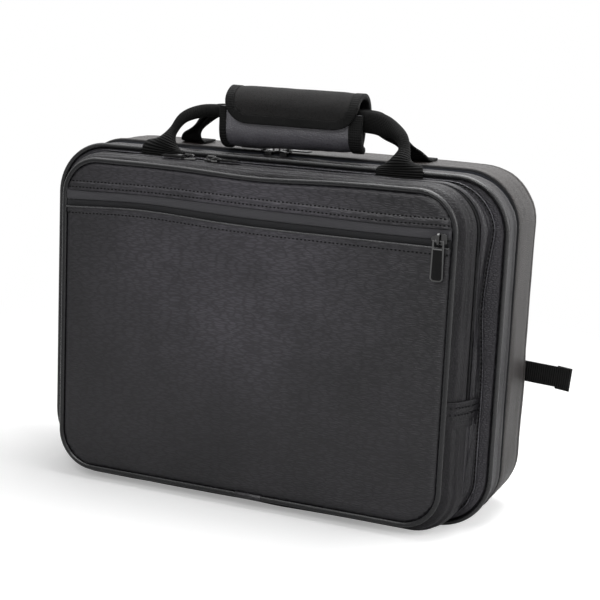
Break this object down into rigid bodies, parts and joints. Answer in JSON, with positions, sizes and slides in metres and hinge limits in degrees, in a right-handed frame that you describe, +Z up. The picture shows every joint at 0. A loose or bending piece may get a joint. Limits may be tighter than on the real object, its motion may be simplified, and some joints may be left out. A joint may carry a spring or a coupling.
{
  "type": "double clarinet case",
  "caption": "Soft-covered musical instrument case with a zipped lid, fitted wells, gusset pocket, padded handle and shoulder straps.",
  "frame": {"origin": "middle of the flat bottom of the rear shell, on which the closed case stands", "axes": "+X to the viewer's right when the front pocket faces the viewer, +Y towards the shoulder straps at the back, +Z up"},
  "size_m": [0.46, 0.1507, 0.3308],
  "materials": {
    "cover": "fine grained",
    "shade": "fine grained",
    "piping": "shiny",
    "webbing": "ribbed",
    "tape": "woven",
    "metal": "satin black",
    "lining": "short plush",
    "plastic": "satin"
  },
  "bodies": {
    "shell": {"rear_shell": "cover", "main_zip_rear": "tape", "hinge_strip": "shade", "insert_joint_1": "lining", "insert_joint_2": "lining", "insert_joint_3": "lining", "insert_joint_4": "lining", "insert_bells": "lining", "insert_mouthpieces": "lining", "insert_tray": "lining", "rear_handle": "webbing", "grip_wrap": "shade", "strap_patch": "cover", "shoulder_strap_left": "shade", "shoulder_strap_right": "shade", "ladder_lock_left": "plastic", "ladder_lock_right": "plastic", "lower_web_left": "webbing", "lower_web_right": "webbing", "lower_anchor_left": "cover", "lower_anchor_right": "cover"},
    "lid": {"lid_shell": "cover", "lid_piping": "piping", "lid_pad": "lining", "main_zip_front": "tape", "front_handle": "webbing", "pocket_gusset_rear": "cover", "pocket_zip_rear": "tape", "front_panel_lower": "cover", "front_piping_lower": "piping", "zip_end_tab_left": "cover", "zip_end_tab_right": "cover"},
    "pocket_flap": {"front_panel_upper": "cover", "front_piping_upper": "piping", "pocket_gusset_front": "cover", "pocket_zip_front": "tape", "flat_welt_upper": "cover", "flat_welt_lower": "cover", "flat_zip_coil": "tape"},
    "grip_flap": {"grip_flap": "shade"},
    "strap_tail_left": {"strap_tail_left": "webbing"},
    "strap_tail_right": {"strap_tail_right": "webbing"},
    "main_left_slider": {"main_left_slider": "metal"},
    "main_left_pull": {"main_left_pull": "metal"},
    "main_right_slider": {"main_right_slider": "metal"},
    "main_right_pull": {"main_right_pull": "metal"},
    "pocket_left_slider": {"pocket_left_slider": "metal"},
    "pocket_left_pull": {"pocket_left_pull": "metal"},
    "pocket_right_slider": {"pocket_right_slider": "metal"},
    "pocket_right_pull": {"pocket_right_pull": "metal"},
    "flat_slider": {"flat_slider": "metal"},
    "flat_pull": {"flat_pull": "metal"}
  },
  "joints": [
    {"name": "lid_hinge", "type": "hinge", "parent": "shell", "child": "lid", "pos_m": [0, -0.035, 0], "axis": [1, 0, 0], "range_deg": [0, 180]},
    {"name": "pocket_hinge", "type": "hinge", "parent": "lid", "child": "pocket_flap", "pos_m": [0, -0.1033, 0.10115], "axis": [1, 0, 0], "range_deg": [0, 80]},
    {"name": "grip_flap_hinge", "type": "hinge", "parent": "shell", "child": "grip_flap", "pos_m": [0.005, -0.02245, 0.31815], "axis": [-1, 0, 0], "range_deg": [0, 120]},
    {"name": "strap_tail_left_swing", "type": "hinge", "parent": "shell", "child": "strap_tail_left", "pos_m": [-0.1123, 0.0344, 0.1147], "axis": [0, 0, -1], "range_deg": [0, 75]},
    {"name": "strap_tail_right_swing", "type": "hinge", "parent": "shell", "child": "strap_tail_right", "pos_m": [0.1123, 0.0344, 0.1147], "axis": [0, 0, 1], "range_deg": [0, 75]},
    {"name": "main_left_slide", "type": "slide", "parent": "shell", "child": "main_left_slider", "axis": [-1, 0, 0], "range_m": [0, 0.125]},
    {"name": "main_right_slide", "type": "slide", "parent": "shell", "child": "main_right_slider", "axis": [1, 0, 0], "range_m": [0, 0.125]},
    {"name": "main_left_pull_swing", "type": "hinge", "parent": "main_left_slider", "child": "main_left_pull", "pos_m": [-0.01685, -0.035, 0.28015], "axis": [0, 0, 1], "range_deg": [-40, 40]},
    {"name": "main_right_pull_swing", "type": "hinge", "parent": "main_right_slider", "child": "main_right_pull", "pos_m": [-0.00115, -0.035, 0.28015], "axis": [0, 0, 1], "range_deg": [-40, 40]},
    {"name": "pocket_left_slide", "type": "slide", "parent": "lid", "child": "pocket_left_slider", "axis": [-1, 0, 0], "range_m": [0, 0.07]},
    {"name": "pocket_right_slide", "type": "slide", "parent": "lid", "child": "pocket_right_slider", "axis": [1, 0, 0], "range_m": [0, 0.18]},
    {"name": "pocket_left_pull_lift", "type": "hinge", "parent": "pocket_left_slider", "child": "pocket_left_pull", "pos_m": [-0.06635, -0.079, 0.27294], "axis": [0, 1, 0], "range_deg": [0, 120]},
    {"name": "pocket_right_pull_lift", "type": "hinge", "parent": "pocket_right_slider", "child": "pocket_right_pull", "pos_m": [-0.04365, -0.079, 0.27294], "axis": [0, -1, 0], "range_deg": [0, 120]},
    {"name": "flat_slide", "type": "slide", "parent": "pocket_flap", "child": "flat_slider", "axis": [-1, 0, 0], "range_m": [0, 0.3]},
    {"name": "flat_pull_lift", "type": "hinge", "parent": "flat_slider", "child": "flat_pull", "pos_m": [0.1543, -0.10725, 0.23115], "axis": [-1, 0, 0], "range_deg": [0, 120]}
  ]
}
